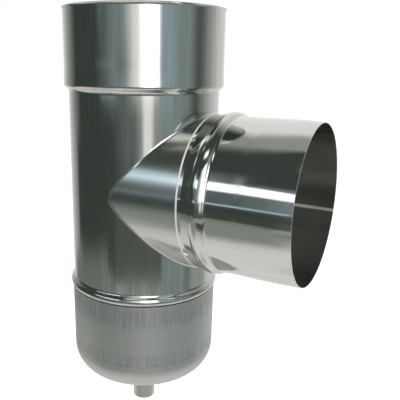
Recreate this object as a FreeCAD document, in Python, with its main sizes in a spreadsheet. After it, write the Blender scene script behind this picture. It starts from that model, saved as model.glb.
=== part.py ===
"""Stove pipe tee: a single-wall stainless flue tee with a push-fit condensate cap.

A pipe with a bell on top and a beaded male end below carries a side branch of the same bore.
The branch is a coped collar welded to the pipe, with a beaded male spigot lapped over its end.
A deep-drawn cap with a drain nipple closes the lower end and pulls off downwards.

Frame: the pipe's axis is Z, the branch's axis is X, and they cross at the origin. Millimetres.
"""
import FreeCAD, Part
import math
import os
import Sketcher
from FreeCAD import Placement, Rotation, Vector

# Driving dimensions: alias, value in mm, what it is
DIMENSIONS = [
    ("wall", 0.5, "thickness of the tube sheet"),
    ("body_radius", 60.0, "outside of the pipe"),
    ("upper_length", 18.9, "from the saddle weld up to the bell's foot"),
    ("socket_step", 3.2, "how far the bell stands out from the pipe"),
    ("foot_swell", 0.4, "how much wider the bell is at its foot"),
    ("socket_swell", 14.0, "height over which the swell runs out"),
    ("socket_length", 56.6, "from the bell's foot to its rim"),
    ("shoulder_root", 4.4, "radius of the shoulder's hollow bend"),
    ("shoulder_crown", 3.0, "radius of the shoulder's round bend"),
    ("rim_flare", 0.85, "how far the rim turns outwards"),
    ("rim_bend", 3.2, "radius of the rim's flare"),
    ("lower_length", 19.9, "from the saddle weld down to the middle of the bead"),
    ("bead_height", 2.7, "how far both stop beads stand out from the pipe"),
    ("bead_crown", 4.2, "radius of the lower bead's round top"),
    ("bead_root", 3.2, "radius of the lower bead's hollow roots"),
    ("neck_inset", 0.2, "how much narrower a male end is next to its bead"),
    ("neck_length", 21.0, "from a bead's root to the step of the male end"),
    ("step_length", 0.9, "length of the step"),
    ("land_rise", 0.05, "how much wider than the pipe a male end is beyond its step"),
    ("land_length", 18.0, "length of the straight stretch beyond the step"),
    ("taper_length", 19.4, "length of the taper at the mouth"),
    ("mouth_inset", 0.6, "how much narrower a male end is at its mouth"),
    ("collar_inset", 0.3, "how much narrower than the pipe the branch's collar is"),
    ("collar_lap", 3.5, "length of collar inside the spigot's root"),
    ("hole_ledge", 0.6, "how far the pipe's hole stays inside the collar's bore"),
    ("saddle_fillet", 2.4, "rolling radius of the weld between pipe and collar"),
    ("saddle_toe", 0.8, "least width of that weld's legs"),
    ("saddle_height", 0.3, "least height of that weld"),
    ("seam_margin", 0.05, "least space between the two welds on the collar"),
    ("seam_width", 1.7, "width of the ring weld at the spigot's root"),
    ("seam_round", 1.1, "radius of the ring weld's face"),
    ("lap_gap", 0.03, "gap under the spigot's root and under the saddle weld"),
    ("root_seat", 2.5, "length of the root's straight seat on the collar"),
    ("root_length", 9.2, "from the root's edge to the crease before the bead"),
    ("crease_height", 1.5, "how far the crease stands out from the pipe"),
    ("spigot_bead_crown", 9.0, "radius of the spigot bead's round top"),
    ("spigot_bead_root", 3.6, "radius of the spigot bead's hollow root"),
    ("cap_gap", 0.3, "gap between the cap's rim and the bead"),
    ("cap_clearance", 0.3, "gap between the cap's wall and the male end's land"),
    ("cap_draft", 0.4, "how much wider the cap is at its rim"),
    ("cap_wall", 0.5, "thickness of the cap's sheet"),
    ("cap_overreach", 5.0, "how far the male end reaches past the start of the knuckle"),
    ("cap_knuckle", 22.0, "outer radius of the knuckle"),
    ("cap_dome", 90.0, "outer radius of the domed end"),
    ("nipple_bore", 8.1, "bore radius of the drain nipple"),
    ("nipple_wall", 1.5, "thickness of the nipple"),
    ("base_step", 0.3, "how much wider its base is, which goes through the dome"),
    ("base_length", 3.2, "from the dome's outside to the end of the base"),
    ("nipple_length", 25.1, "from the dome's middle to the nipple's end"),
    ("nipple_inside", 2.0, "how far the nipple stands inside the dome"),
    ("nipple_chamfer", 0.6, "chamfer at the nipple's end"),
    ("drain_gap", 0.03, "gap between the nipple and its hole"),
    ("drain_leg", 2.2, "leg of the weld round the nipple"),
    ("drain_round", 2.9, "radius of that weld's hollow face"),
]

# Radii that follow from those: alias, formula, what it is
RADII = [
    ("socket_radius", "body_radius + socket_step", "outside of the bell"),
    ("socket_foot_radius", "socket_radius + foot_swell", "outside of the bell's foot"),
    ("bead_radius", "body_radius + bead_height", "outside of both stop beads"),
    ("neck_radius", "body_radius - neck_inset", "outside of a male end next to its bead"),
    ("land_radius", "body_radius + land_rise", "outside of a male end beyond its step"),
    ("mouth_radius", "body_radius - mouth_inset", "outside of a male end at its mouth"),
    ("collar_radius", "body_radius - collar_inset", "outside of the branch's collar"),
    ("crease_radius", "body_radius + crease_height", "outside of the crease"),
    ("nipple_radius", "nipple_bore + nipple_wall", "outside of the drain nipple"),
    ("nipple_base", "nipple_radius + base_step", "outside of its base"),
]

SADDLE_SECTIONS = 160       # sections of the weld that runs round the saddle
SADDLE_FLATS = 4            # flats across that weld's face

doc = FreeCAD.newDocument("StovePipeTee")


def make_sheet():
    """Put the dimensions and the radii into a spreadsheet and give each cell its alias."""
    sheet = doc.addObject("Spreadsheet::Sheet", "Sizes")
    rows = DIMENSIONS + [(alias, f"={formula}", meaning) for alias, formula, meaning in RADII]
    for row, (alias, content, meaning) in enumerate(rows, start=1):
        sheet.set(f"A{row}", meaning)
        sheet.set(f"B{row}", str(content))
        sheet.setAlias(f"B{row}", alias)
    doc.recompute()
    return sheet


sizes = make_sheet()


def size(alias):
    """The expression that reads one cell of the sheet."""
    return f"Sizes.{alias}"


def number(expression):
    """The value of an expression, for places where a plain number is needed."""
    value = sizes.evalExpression(str(expression))
    return float(getattr(value, "Value", value))


def plus(*terms):
    return "(" + " + ".join(str(term) for term in terms) + ")"


def minus(first, *others):
    return "(" + " - ".join(str(term) for term in (first, *others)) + ")"


def plane_of(body, role):
    """One of a body's own origin planes, found by its role."""
    return next(part for part in body.Origin.OriginFeatures if part.Role == role)


def new_body(label):
    body = doc.addObject("PartDesign::Body", label)
    body.Label = label
    return body


def new_sketch(body, name, role):
    sketch = body.newObject("Sketcher::SketchObject", name)
    sketch.AttachmentSupport = [(plane_of(body, role), "")]
    sketch.MapMode = "FlatFace"
    return sketch


def bind(sketch, constraint, expression):
    """Add a dimension to a sketch and bind it to an expression."""
    index = sketch.addConstraint(constraint)
    sketch.setExpression(f"Constraints[{index}]", str(expression))


def arc_centre(start, end, radius, side):
    """Centre of the shorter arc between two points; side is 1 where it lies left of the chord."""
    chord = end - start
    height = math.sqrt(max(radius ** 2 - (chord.Length / 2) ** 2, 0.0))
    left = Vector(-chord.y, chord.x, 0).normalize()
    return (start + end) * 0.5 + left * height * side


def draw_outline(sketch, points):
    """Draw a closed outline whose corners and radii are bound to expressions.

    Each entry is (x, y) or (x, y, radius, side): the radius and side belong to the arc that
    leads from this point to the next, and without them a straight line does.
    """
    count = len(points)
    corners = [Vector(number(entry[0]), number(entry[1]), 0) for entry in points]
    ends = []
    for index, entry in enumerate(points):
        start, end = corners[index], corners[(index + 1) % count]
        if len(entry) == 2:
            edge = sketch.addGeometry(Part.LineSegment(start, end), False)
            ends.append((edge, 1, 2))
            continue
        radius, side = number(entry[2]), entry[3]
        centre = arc_centre(start, end, radius, side)
        first, last = (start, end) if side > 0 else (end, start)
        angles = [math.atan2(point.y - centre.y, point.x - centre.x) for point in (first, last)]
        circle = Part.Circle(centre, Vector(0, 0, 1), radius)
        edge = sketch.addGeometry(Part.ArcOfCircle(circle, *angles), False)
        ends.append((edge, 1, 2) if side > 0 else (edge, 2, 1))
    for index, (edge, start_end, _) in enumerate(ends):
        before, _, before_end = ends[index - 1]
        sketch.addConstraint(Sketcher.Constraint("Coincident", before, before_end, edge, start_end))
    for (edge, start_end, _), corner, entry in zip(ends, corners, points):
        bind(sketch, Sketcher.Constraint("DistanceX", -1, 1, edge, start_end, corner.x), entry[0])
        bind(sketch, Sketcher.Constraint("DistanceY", -1, 1, edge, start_end, corner.y), entry[1])
        if len(entry) > 2:
            bind(sketch, Sketcher.Constraint("Radius", edge, number(entry[2])), entry[2])


def revolve(body, name, points, axis):
    """Turn an outline in the XZ plane about the sketch's upright or level axis."""
    sketch = new_sketch(body, f"{name}_outline", "XZ_Plane")
    draw_outline(sketch, points)
    feature = body.newObject("PartDesign::Revolution", name)
    feature.Profile = sketch
    feature.ReferenceAxis = (sketch, [axis])
    feature.Angle = 360
    sketch.Visibility = False
    return feature


def sheet_outline(line, thickness):
    """Close a sheet's outline from a line function called at depth 0 and at the sheet's depth."""
    outer, inner = line("0"), line(thickness)
    back = []
    for index in range(len(inner) - 1, -1, -1):
        axial, radial = inner[index][:2]
        arc = inner[index - 1][2:] if index else ()
        back.append((axial, radial, *((arc[0], -arc[1]) if arc else ())))
    return outer + back


def turned(points):
    """Swap (axial, radial) into (radial, axial) for a piece about Z, with its arcs mirrored."""
    return [(radial, axial, *((arc[0], -arc[1]) if arc else ())) for axial, radial, *arc in points]


def mirrored(points):
    """Turn a line that runs outwards along X into one that runs down along Z."""
    return [(f"(-{axial})", radial, *((arc[0], -arc[1]) if arc else ()))
            for axial, radial, *arc in points]


def bead_angle(peak, base, crown, root):
    """Slope where a bead's round top meets its hollow root."""
    return f"acos(1 - ({peak} - {base}) / ({crown} + {root}))"


def bead_half(middle, peak, base, crown, root, depth):
    """The far half of a bead: where its top meets its root, and where the root ends.

    The line lies deeper in the sheet by depth, which widens the root and narrows the top.
    """
    angle = bead_angle(peak, base, crown, root)
    top = minus(crown, depth)
    hollow = plus(root, depth)
    slope = (plus(middle, f"{top} * sin({angle})"), f"({peak} - {crown} + {top} * cos({angle}))")
    end = (plus(middle, f"({crown} + {root}) * sin({angle})"), minus(base, depth))
    return slope, end, hollow, top


def male_end(root_end, depth):
    """A male end from the root of its bead to its mouth: neck, step, land and taper."""
    step = plus(root_end, size("neck_length"))
    land = plus(step, size("step_length"))
    taper = plus(land, size("land_length"))
    mouth = plus(taper, size("taper_length"))
    return [
        (step, minus(size("neck_radius"), depth)),
        (land, minus(size("land_radius"), depth)),
        (taper, minus(size("land_radius"), depth)),
        (mouth, minus(size("mouth_radius"), depth)),
    ]


def saddle_foot():
    """Height above the branch's axis where the saddle weld ends on the pipe."""
    return plus(size("collar_radius"), size("saddle_fillet"))


def bead_middle():
    """Depth of the lower bead's middle."""
    return plus(saddle_foot(), size("lower_length"))


def lower_bead_end(depth="0"):
    """The lower half of the lower bead, in the form that bead_half gives."""
    return bead_half(bead_middle(), size("bead_radius"), size("neck_radius"),
                     size("bead_crown"), size("bead_root"), depth)


def root_start():
    """Reach of the spigot's root: just clear of the saddle weld, beyond the ring weld."""
    return plus(size("body_radius"), size("saddle_fillet"), size("seam_margin"),
                size("seam_width"))


def collar_end():
    """Reach of the collar, inside the spigot's root."""
    return plus(root_start(), size("collar_lap"))


def body_line(depth):
    """The pipe's wall from the rim down to the lower mouth, as (height, radius)."""
    foot, bell, pipe = size("socket_foot_radius"), size("socket_radius"), size("body_radius")
    crown, root = size("shoulder_crown"), size("shoulder_root")
    slope = bead_angle(foot, pipe, crown, root)
    foot_height = plus(saddle_foot(), size("upper_length"))
    rim_height = plus(foot_height, size("socket_length"))
    hollow, top = plus(root, depth), minus(crown, depth)
    flare = f"acos(1 - {size('rim_flare')} / {size('rim_bend')})"
    bend = plus(size("rim_bend"), depth)
    rim_start = f"({rim_height} - ({size('rim_bend')} + {size('wall')}) * sin({flare}))"
    upper = [
        (f"({rim_start} + {bend} * sin({flare}))",
         f"({bell} - {depth} + {bend} * (1 - cos({flare})))", bend, -1),
        (rim_start, minus(bell, depth)),
        (plus(foot_height, size("socket_swell")), minus(bell, depth)),
        (foot_height, minus(foot, depth), top, 1),
        (f"({foot_height} - {top} * sin({slope}))",
         f"({foot} - {crown} + {top} * cos({slope}))", hollow, -1),
        (f"({foot_height} - ({crown} + {root}) * sin({slope}))", minus(pipe, depth)),
    ]
    middle = bead_middle()
    above, start, hollow, top = bead_half(middle, size("bead_radius"), pipe,
                                          size("bead_crown"), size("bead_root"), depth)
    below, end, _, _ = lower_bead_end(depth)
    lower = [
        (f"(2 * {middle} - {start[0]})", start[1], hollow, 1),
        (f"(2 * {middle} - {above[0]})", above[1], top, -1),
        (middle, minus(size("bead_radius"), depth), top, -1),
        (*below, hollow, 1),
        end,
        *male_end(end[0], depth),
    ]
    return upper + mirrored(lower)


def spigot_line(depth):
    """The branch spigot's wall from its root to its mouth, as (reach, radius)."""
    seat = plus(size("collar_radius"), size("lap_gap"), size("wall"))
    peak, crown, root = size("bead_radius"), size("spigot_bead_crown"), size("spigot_bead_root")
    rise = f"acos(({size('crease_radius')} - {peak} + {crown}) / {crown})"
    middle = f"({root_start()} + {size('root_length')} + {crown} * sin({rise}))"
    slope, end, hollow, top = bead_half(middle, peak, size("neck_radius"), crown, root, depth)
    return [
        (root_start(), minus(seat, depth)),
        (plus(root_start(), size("root_seat")), minus(seat, depth)),
        (f"({middle} - {top} * sin({rise}))", f"({peak} - {crown} + {top} * cos({rise}))", top, -1),
        (*slope, hollow, 1),
        end,
        *male_end(end[0], depth),
    ]


def cap_rim_depth():
    """Depth of the cap's rim: where its bore meets the bead's root, and the gap below that."""
    rim_bore = plus(size("land_radius"), size("cap_clearance"), size("cap_draft"))
    _, end, _, _ = lower_bead_end()
    rise = f"({size('neck_radius')} + {size('bead_root')} - {rim_bore})"
    return f"({end[0]} - sqrt({size('bead_root')}^2 - {rise}^2) + {size('cap_gap')})"


def cap_knuckle_depth():
    """Depth where the cap's wall turns into the knuckle, a little above the male end's mouth."""
    _, end, _, _ = lower_bead_end()
    mouth = male_end(end[0], "0")[-1][0]
    return minus(mouth, size("cap_overreach"))


def dome_centre():
    """Depth of the centre of the cap's domed end, from the tangent knuckle."""
    outside = plus(size("land_radius"), size("cap_clearance"), size("cap_wall"))
    reach = minus(outside, size("cap_knuckle"))
    gap = minus(size("cap_dome"), size("cap_knuckle"))
    return f"({cap_knuckle_depth()} - sqrt({gap}^2 - {reach}^2))"


def cap_line(depth):
    """The cap's wall from its rim to the drain hole, as (depth below the axis, radius)."""
    outside = plus(size("land_radius"), size("cap_clearance"), size("cap_wall"))
    knuckle, dome = minus(size("cap_knuckle"), depth), minus(size("cap_dome"), depth)
    reach = minus(outside, size("cap_knuckle"))
    turn = f"asin({reach} / ({size('cap_dome')} - {size('cap_knuckle')}))"
    hole = plus(size("nipple_base"), size("drain_gap"))
    return mirrored([
        (cap_rim_depth(), f"({outside} + {size('cap_draft')} - {depth})"),
        (cap_knuckle_depth(), minus(outside, depth), knuckle, -1),
        (f"({dome_centre()} + {dome} * cos({turn}))", f"({dome} * sin({turn}))", dome, -1),
        (f"({dome_centre()} + sqrt({dome}^2 - {hole}^2))", hole),
    ])


def dome_depth(radius, skin="0"):
    """Depth of the domed end's outer skin, or of one deeper in the sheet, at a radius."""
    return f"({dome_centre()} + sqrt(({size('cap_dome')} - {skin})^2 - {radius}^2))"


def cut_hole(body, name, role, radius, length=None):
    """Cut a round hole along the plane's normal: one way by a length, or right through."""
    sketch = new_sketch(body, f"{name}_outline", role)
    circle = Part.Circle(Vector(0, 0, 0), Vector(0, 0, 1), number(radius))
    sketch.addGeometry(circle, False)
    sketch.addConstraint(Sketcher.Constraint("Coincident", 0, 3, -1, 1))
    bind(sketch, Sketcher.Constraint("Radius", 0, number(radius)), radius)
    before = body.Shape.Volume
    pocket = body.newObject("PartDesign::Pocket", name)
    pocket.Profile = sketch
    if length is None:
        pocket.Type = "ThroughAll"
        pocket.Midplane = True
    else:
        pocket.Type = "Length"
        pocket.Reversed = True
        pocket.setExpression("Length", str(length))
    sketch.Visibility = False
    doc.recompute()
    if not body.Shape.Volume < before:
        raise RuntimeError(f"{name} cut nothing")
    return pocket


def make_tee_body():
    """The pipe: bell, shoulder, wall, bead and lower male end, with the hole for the branch."""
    body = new_body("tee_body")
    revolve(body, "pipe", turned(sheet_outline(body_line, size("wall"))), "V_Axis")
    doc.recompute()
    bore = minus(size("collar_radius"), size("wall"), size("hole_ledge"))
    cut_hole(body, "branch_hole", "YZ_Plane", bore, collar_end())
    return body


def make_branch_collar():
    """The branch's collar: a tube coped to sit on the pipe's outside."""
    body = new_body("branch_collar")
    outside = size("collar_radius")
    inside = minus(outside, size("wall"))
    tube = [("0", outside), (collar_end(), outside), (collar_end(), inside), ("0", inside)]
    revolve(body, "tube", tube, "H_Axis")
    doc.recompute()
    cut_hole(body, "coping", "XY_Plane", size("body_radius"))
    return body


def make_branch_spigot():
    """The branch's male end: widened root, stop bead, neck, step, land and taper."""
    body = new_body("branch_spigot")
    revolve(body, "spigot", sheet_outline(spigot_line, size("wall")), "H_Axis")
    return body


def onto_tube(point, radius, axis):
    """The point moved straight to the surface of a tube about one of the main axes."""
    along = axis * point.dot(axis)
    return along + (point - along).normalize() * radius


def saddle_section(angle):
    """One section of the weld round the saddle, square to the line where the tubes meet.

    The line's point is on both tubes, taken wider by the lap's gap. The legs run from it along
    each tube by the length that a rolling ball would give, and never less than the toe. Each has
    its middle on the tube as well, so that it follows the curve. The face has flats, whose
    corners lie on the arc through the legs' ends and the weld's middle.
    """
    pipe, collar = (number(plus(size(tube), size("lap_gap")))
                    for tube in ("body_radius", "collar_radius"))
    up, out = Vector(0, 0, 1), Vector(1, 0, 0)
    across, height = collar * math.sin(angle), collar * math.cos(angle)
    point = Vector(math.sqrt(pipe ** 2 - across ** 2), across, height)
    pipe_normal = Vector(point.x, point.y, 0).normalize()
    collar_normal = Vector(0, point.y, point.z).normalize()
    run = pipe_normal.cross(collar_normal).normalize()
    half = pipe_normal.getAngle(collar_normal) / 2
    ball = number(size("saddle_fillet"))
    leg = max(ball * math.tan(half), number(size("saddle_toe")))
    rise = max(ball * (1 / math.cos(half) - 1), number(size("saddle_height")))
    pipe_leg, collar_leg = run.cross(pipe_normal) * leg, run.cross(collar_normal) * -leg
    on_pipe = [onto_tube(point + pipe_leg * share, pipe, up) for share in (0.5, 1)]
    on_collar = [onto_tube(point + collar_leg * share, collar, out) for share in (1, 0.5)]
    middle = point + (pipe_normal + collar_normal).normalize() * rise
    face = Part.Arc(on_pipe[1], middle, on_collar[0]).toShape().discretize(SADDLE_FLATS + 1)
    return Part.makePolygon([point, on_pipe[0], *face, on_collar[1], point])


def make_saddle_weld():
    """The smooth weld in the corner between pipe and collar, lofted round the saddle."""
    sections = [saddle_section(2 * math.pi * (index + 0.5) / SADDLE_SECTIONS)
                for index in range(SADDLE_SECTIONS)]
    ring = Part.makeLoft(sections, True, False, True)
    weld = doc.addObject("Part::Feature", "saddle_weld")
    weld.Label = "saddle_weld"
    weld.Shape = ring
    weld.Placement = Placement()
    return weld


def make_spigot_weld():
    """The ring weld on the collar: a round face up to the edge of the spigot's root."""
    body = new_body("spigot_weld")
    base = size("collar_radius")
    outline = [
        (minus(root_start(), size("seam_width")), base, size("seam_round"), -1),
        (root_start(), plus(base, size("lap_gap"), size("wall"))),
        (root_start(), base),
    ]
    revolve(body, "ridge", outline, "H_Axis")
    return body


def make_condensate_cap():
    """The deep-drawn cap: a drafted wall, a knuckle and a domed end with the drain hole."""
    body = new_body("condensate_cap")
    revolve(body, "cup", turned(sheet_outline(cap_line, size("cap_wall"))), "V_Axis")
    return body


def make_drain_nipple():
    """The drain nipple: a turned tube with a thicker base through the dome, and a chamfer."""
    body = new_body("drain_nipple")
    base, outside, bore = size("nipple_base"), size("nipple_radius"), size("nipple_bore")
    top = f"(-({dome_depth(base, size('cap_wall'))} - {size('nipple_inside')}))"
    step = f"(-({dome_depth(base)} + {size('base_length')}))"
    end = f"(-({dome_centre()} + {size('cap_dome')} + {size('nipple_length')}))"
    chamfer = size("nipple_chamfer")
    outline = [
        (bore, top),
        (base, top),
        (base, step),
        (outside, step),
        (outside, plus(end, chamfer)),
        (minus(outside, chamfer), end),
        (bore, end),
    ]
    revolve(body, "nipple", outline, "V_Axis")
    return body


def make_drain_weld():
    """The weld under the dome round the nipple, with a hollow face."""
    body = new_body("drain_weld")
    inner = size("nipple_base")
    outer = plus(inner, size("drain_leg"))
    outline = [
        (inner, f"(-{dome_depth(inner)})"),
        (inner, f"(-({dome_depth(inner)} + {size('drain_leg')}))", size("drain_round"), -1),
        (outer, f"(-{dome_depth(outer)})", size("cap_dome"), -1),
    ]
    revolve(body, "weld", outline, "V_Axis")
    return body


def check(objects):
    """Stop if any object failed or any sub-part isn't one valid solid."""
    for item in doc.Objects:
        if "Invalid" in item.State or "Error" in item.State:
            raise RuntimeError(f"{item.Name}: {item.State}")
    for item in objects:
        shape = item.Shape
        if shape.isNull() or not shape.isValid() or len(shape.Solids) != 1:
            raise RuntimeError(f"{item.Label}: not one valid solid")
        print(f"{item.Label}: {shape.Volume:.1f} mm3, {len(shape.Faces)} faces")


def main():
    pieces = [
        make_tee_body(),
        make_branch_collar(),
        make_branch_spigot(),
        make_saddle_weld(),
        make_spigot_weld(),
        make_condensate_cap(),
        make_drain_nipple(),
        make_drain_weld(),
    ]
    doc.recompute()
    check(pieces)
    os.makedirs("parts", exist_ok=True)
    for piece in pieces:
        piece.Shape.exportStep(f"parts/{piece.Label}.step")


main()
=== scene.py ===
"""A stove pipe tee in bright stainless sheet, with its condensate cap, in a plain studio.

The sheets are turned or coped surfaces with their exact normals, so that the nearly mirror-like
steel reflects as smoothly as the real one. Lengths are in metres and the frame is the part's own:
the pipe's axis is Z, the branch's axis is X, and they cross at the origin.
"""

import math

import bpy
import numpy as np
from bpy.props import FloatProperty, FloatVectorProperty, IntProperty, PointerProperty
from mathutils import Matrix, Vector


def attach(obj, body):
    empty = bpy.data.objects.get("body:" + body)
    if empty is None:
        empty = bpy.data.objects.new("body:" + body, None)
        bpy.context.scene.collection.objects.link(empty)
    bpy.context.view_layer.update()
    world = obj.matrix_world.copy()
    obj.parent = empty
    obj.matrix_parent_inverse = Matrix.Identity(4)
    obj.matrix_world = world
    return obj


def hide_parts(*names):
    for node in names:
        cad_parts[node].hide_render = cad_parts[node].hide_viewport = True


bl_info = {
    "name": "Stove Pipe Tee",
    "version": (1, 0, 0),
    "blender": (4, 5, 0),
    "location": "View3D > Sidebar > Stove Tee",
    "description": "Sheets, welds, cap and studio of a single-wall stainless stove pipe tee",
    "category": "Add Mesh",
}

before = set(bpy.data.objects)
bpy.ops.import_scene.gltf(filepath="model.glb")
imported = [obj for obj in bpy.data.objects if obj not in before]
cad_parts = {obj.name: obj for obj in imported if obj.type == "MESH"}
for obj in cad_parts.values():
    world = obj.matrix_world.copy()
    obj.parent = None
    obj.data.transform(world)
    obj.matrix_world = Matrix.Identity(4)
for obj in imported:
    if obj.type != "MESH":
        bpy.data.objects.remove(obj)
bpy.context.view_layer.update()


def linear(hex_colour):
    """An sRGB hex colour as linear red, green and blue."""
    channels = [int(hex_colour[start:start + 2], 16) / 255 for start in (1, 3, 5)]
    return tuple(c / 12.92 if c <= 0.04045 else ((c + 0.055) / 1.055) ** 2.4 for c in channels)


def length(name, millimetres, description):
    """A length property that is given in millimetres and kept in metres."""
    return FloatProperty(name=name, description=description, default=millimetres / 1000,
                         unit="LENGTH", precision=5)


def colour(name, hex_colour, description):
    """A colour property that is given as sRGB hex and kept linear."""
    return FloatVectorProperty(name=name, description=description, subtype="COLOR",
                               default=linear(hex_colour), min=0.0, soft_max=1.0)


class TeeSizes(bpy.types.PropertyGroup):
    """Sizes of the sheets and welds.

    They are those of the solid model, but for the saddle weld's least height and the lengths of
    the arcs in which the bell's swell, the step and the taper run out.
    """
    wall: length("Sheet", 0.5, "Thickness of the tube sheet")
    body_radius: length("Pipe", 60.0, "Outside radius of the pipe")
    foot_height: length("Bell foot", 81.0, "Height of the bell's foot above the branch's axis")
    foot_radius: length("Bell foot radius", 63.6, "Outside radius of the swell at the foot")
    bell_radius: length("Bell", 63.2, "Outside radius of the bell")
    bell_swell: length("Bell swell", 14.0, "Height over which the foot's swell runs out")
    bell_length: length("Bell length", 56.6, "From the bell's foot to its rim")
    shoulder_root: length("Shoulder hollow", 4.4, "Radius of the shoulder's hollow bend")
    shoulder_crown: length("Shoulder round", 3.0, "Radius of the shoulder's round bend")
    rim_flare: length("Rim flare", 0.85, "How far the rim turns outwards")
    rim_bend: length("Rim bend", 3.2, "Radius of the rim's flare")
    bead_middle: length("Lower bead", 82.0, "Depth of the lower bead's middle")
    bead_radius: length("Beads", 62.7, "Outside radius of both stop beads")
    bead_crown: length("Bead top", 4.2, "Radius of the lower bead's round top")
    bead_root: length("Bead root", 3.2, "Radius of the lower bead's hollow roots")
    neck_radius: length("Neck", 59.8, "Outside radius of a male end next to its bead")
    neck_length: length("Neck length", 21.0, "From a bead's root to the step")
    step_length: length("Step", 0.9, "Length of the male end's step")
    step_blend: length("Step blend", 12.0, "Length over which the step's bends run out")
    land_radius: length("Land", 60.05, "Outside radius of a male end beyond its step")
    land_length: length("Land length", 18.0, "Length of the straight stretch beyond the step")
    taper_length: length("Taper", 19.4, "Length of the taper at the mouth")
    mouth_radius: length("Mouth", 59.4, "Outside radius of a male end at its mouth")
    collar_radius: length("Collar", 59.7, "Outside radius of the branch's collar")
    collar_end: length("Collar end", 67.65, "Reach of the collar inside the spigot's root")
    hole_radius: length("Hole", 58.6, "Radius of the pipe's hole for the branch")
    lap_gap: length("Lap gap", 0.03, "Gap under the spigot's root and under the saddle weld")
    saddle_fillet: length("Saddle weld", 2.4, "Rolling radius of the weld round the saddle")
    saddle_toe: length("Saddle toe", 0.8, "Least width of that weld's legs")
    saddle_height: length("Saddle height", 0.2, "Least height of that weld")
    root_start: length("Spigot root", 64.15, "Reach of the edge of the spigot's root")
    root_seat: length("Root seat", 2.5, "Length of the root's straight seat on the collar")
    root_length: length("Root length", 9.2, "From the root's edge to the crease")
    crease_radius: length("Crease", 61.5, "Outside radius of the crease before the bead")
    spigot_crown: length("Spigot bead top", 9.0, "Radius of the spigot bead's round top")
    spigot_root: length("Spigot bead root", 3.6, "Radius of the spigot bead's hollow root")
    seam_width: length("Ring weld", 1.7, "Width of the ring weld at the spigot's root")
    seam_round: length("Ring weld face", 1.1, "Radius of the ring weld's face")
    cap_gap: length("Cap gap", 0.3, "Gap between the cap's rim and the bead")
    cap_clearance: length("Cap clearance", 0.3, "Gap between the cap's wall and the land")
    cap_draft: length("Cap draft", 0.4, "How much wider the cap is at its rim")
    cap_wall: length("Cap sheet", 0.5, "Thickness of the cap's sheet")
    cap_overreach: length("Cap overreach", 5.0, "How far the male end reaches into the knuckle")
    cap_knuckle: length("Cap knuckle", 22.0, "Outer radius of the cap's knuckle")
    cap_dome: length("Cap dome", 90.0, "Outer radius of the cap's domed end")
    nipple_radius: length("Nipple", 9.6, "Outside radius of the drain nipple")
    nipple_base: length("Nipple base", 9.9, "Outside radius of its base, through the dome")
    base_length: length("Base length", 3.2, "From the dome's outside to the end of the base")
    nipple_bore: length("Nipple bore", 8.1, "Bore radius of the nipple")
    nipple_length: length("Nipple length", 25.1, "From the dome's middle to the nipple's end")
    nipple_inside: length("Nipple inside", 2.0, "How far the nipple stands inside the dome")
    nipple_chamfer: length("Nipple chamfer", 0.6, "Chamfer at the nipple's end")
    drain_gap: length("Drain gap", 0.03, "Gap between the nipple and its hole")
    drain_leg: length("Drain weld", 2.2, "Leg of the weld round the nipple")
    drain_round: length("Drain weld face", 2.9, "Radius of that weld's hollow face")
    columns: IntProperty(name="Columns", description="Faces round each turned sheet",
                         default=288, min=48, max=720)


class TeeFinishes(bpy.types.PropertyGroup):
    """Colours of the steel."""
    sheet: colour("Bright sheet", "#cfd1cd", "Bright-annealed stainless sheet")
    sheet_dull: colour("Dull sheet", "#bfc1bc", "The same sheet where it is a little duller")
    weld: colour("Weld", "#c6c6c1", "Polished weld")
    brushed: colour("Brushed weld", "#f2f1ec", "Weld that was brushed bright")
    drawn: colour("Drawn cap", "#cbcdca", "Matt skin of the deep-drawn cap")
    drawn_dark: colour("Draw lines", "#94979a", "Lines that the drawing die leaves")
    turned: colour("Nipple", "#e0dfd8", "Turned drain nipple")
    seam: colour("Long seam", "#fff3e0", "Long seam weld, straw-coloured from its heat")


class StudioSettings(bpy.types.PropertyGroup):
    """Camera, floor and light."""
    azimuth: FloatProperty(name="Azimuth", description="How far the camera stands to the right",
                           default=math.radians(29.360), subtype="ANGLE")
    elevation: FloatProperty(name="Elevation", description="How far the camera looks down",
                             default=math.radians(14.538), subtype="ANGLE")
    roll: FloatProperty(name="Roll", description="Turn of the camera about its own axis",
                        default=math.radians(0.791), subtype="ANGLE")
    distance: length("Distance", 452.32, "From the point looked at to the camera")
    target_right: length("Target right", 21.83, "Point looked at, right of the axes' crossing")
    target_up: length("Target up", -14.96, "Point looked at, above the axes' crossing")
    lens: FloatProperty(name="Lens", description="Focal length in millimetres on a 36 mm sensor",
                        default=48.35, min=1.0)
    shift: FloatProperty(name="Shift", description="Sideways shift of the lens", default=0.075)
    floor_height: length("Floor", -270.0, "Height of the floor, below the pulled-off cap")
    floor: colour("Floor", "#f2f2f0", "Floor and paper")
    room: colour("Dark room", "#454c47", "The unlit room that the steel mirrors")


# Shapes

HOLE_ROWS = 56  # rows of faces across the pipe's hole, in its wall as in its cut edge
COLLAR_ROWS = 9  # rows of points from the collar's coped edge to its end
NIPPLE_COLUMNS = 96  # faces round the drain nipple and its weld
MERGE_STEPS = 1e7  # points that round to the same one of these steps in a metre become one


def bead_angle(peak, base, crown, root):
    """Slope where a bead's round top meets its hollow root."""
    return math.acos(1 - (peak - base) / (crown + root))


def bead_half(middle, peak, base, crown, root, depth):
    """Far half of a bead, on the surface that lies depth inside the sheet's outer one.

    Gives where the round top meets the hollow root, where the root ends, and the radii of root
    and top there. Each is an arc over the bead's angle.
    """
    angle = bead_angle(peak, base, crown, root)
    top = crown - depth
    slope = (middle + top * math.sin(angle), peak - crown + top * math.cos(angle))
    end = (middle + (crown + root) * math.sin(angle), base - depth)
    return slope, end, root + depth, top


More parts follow.
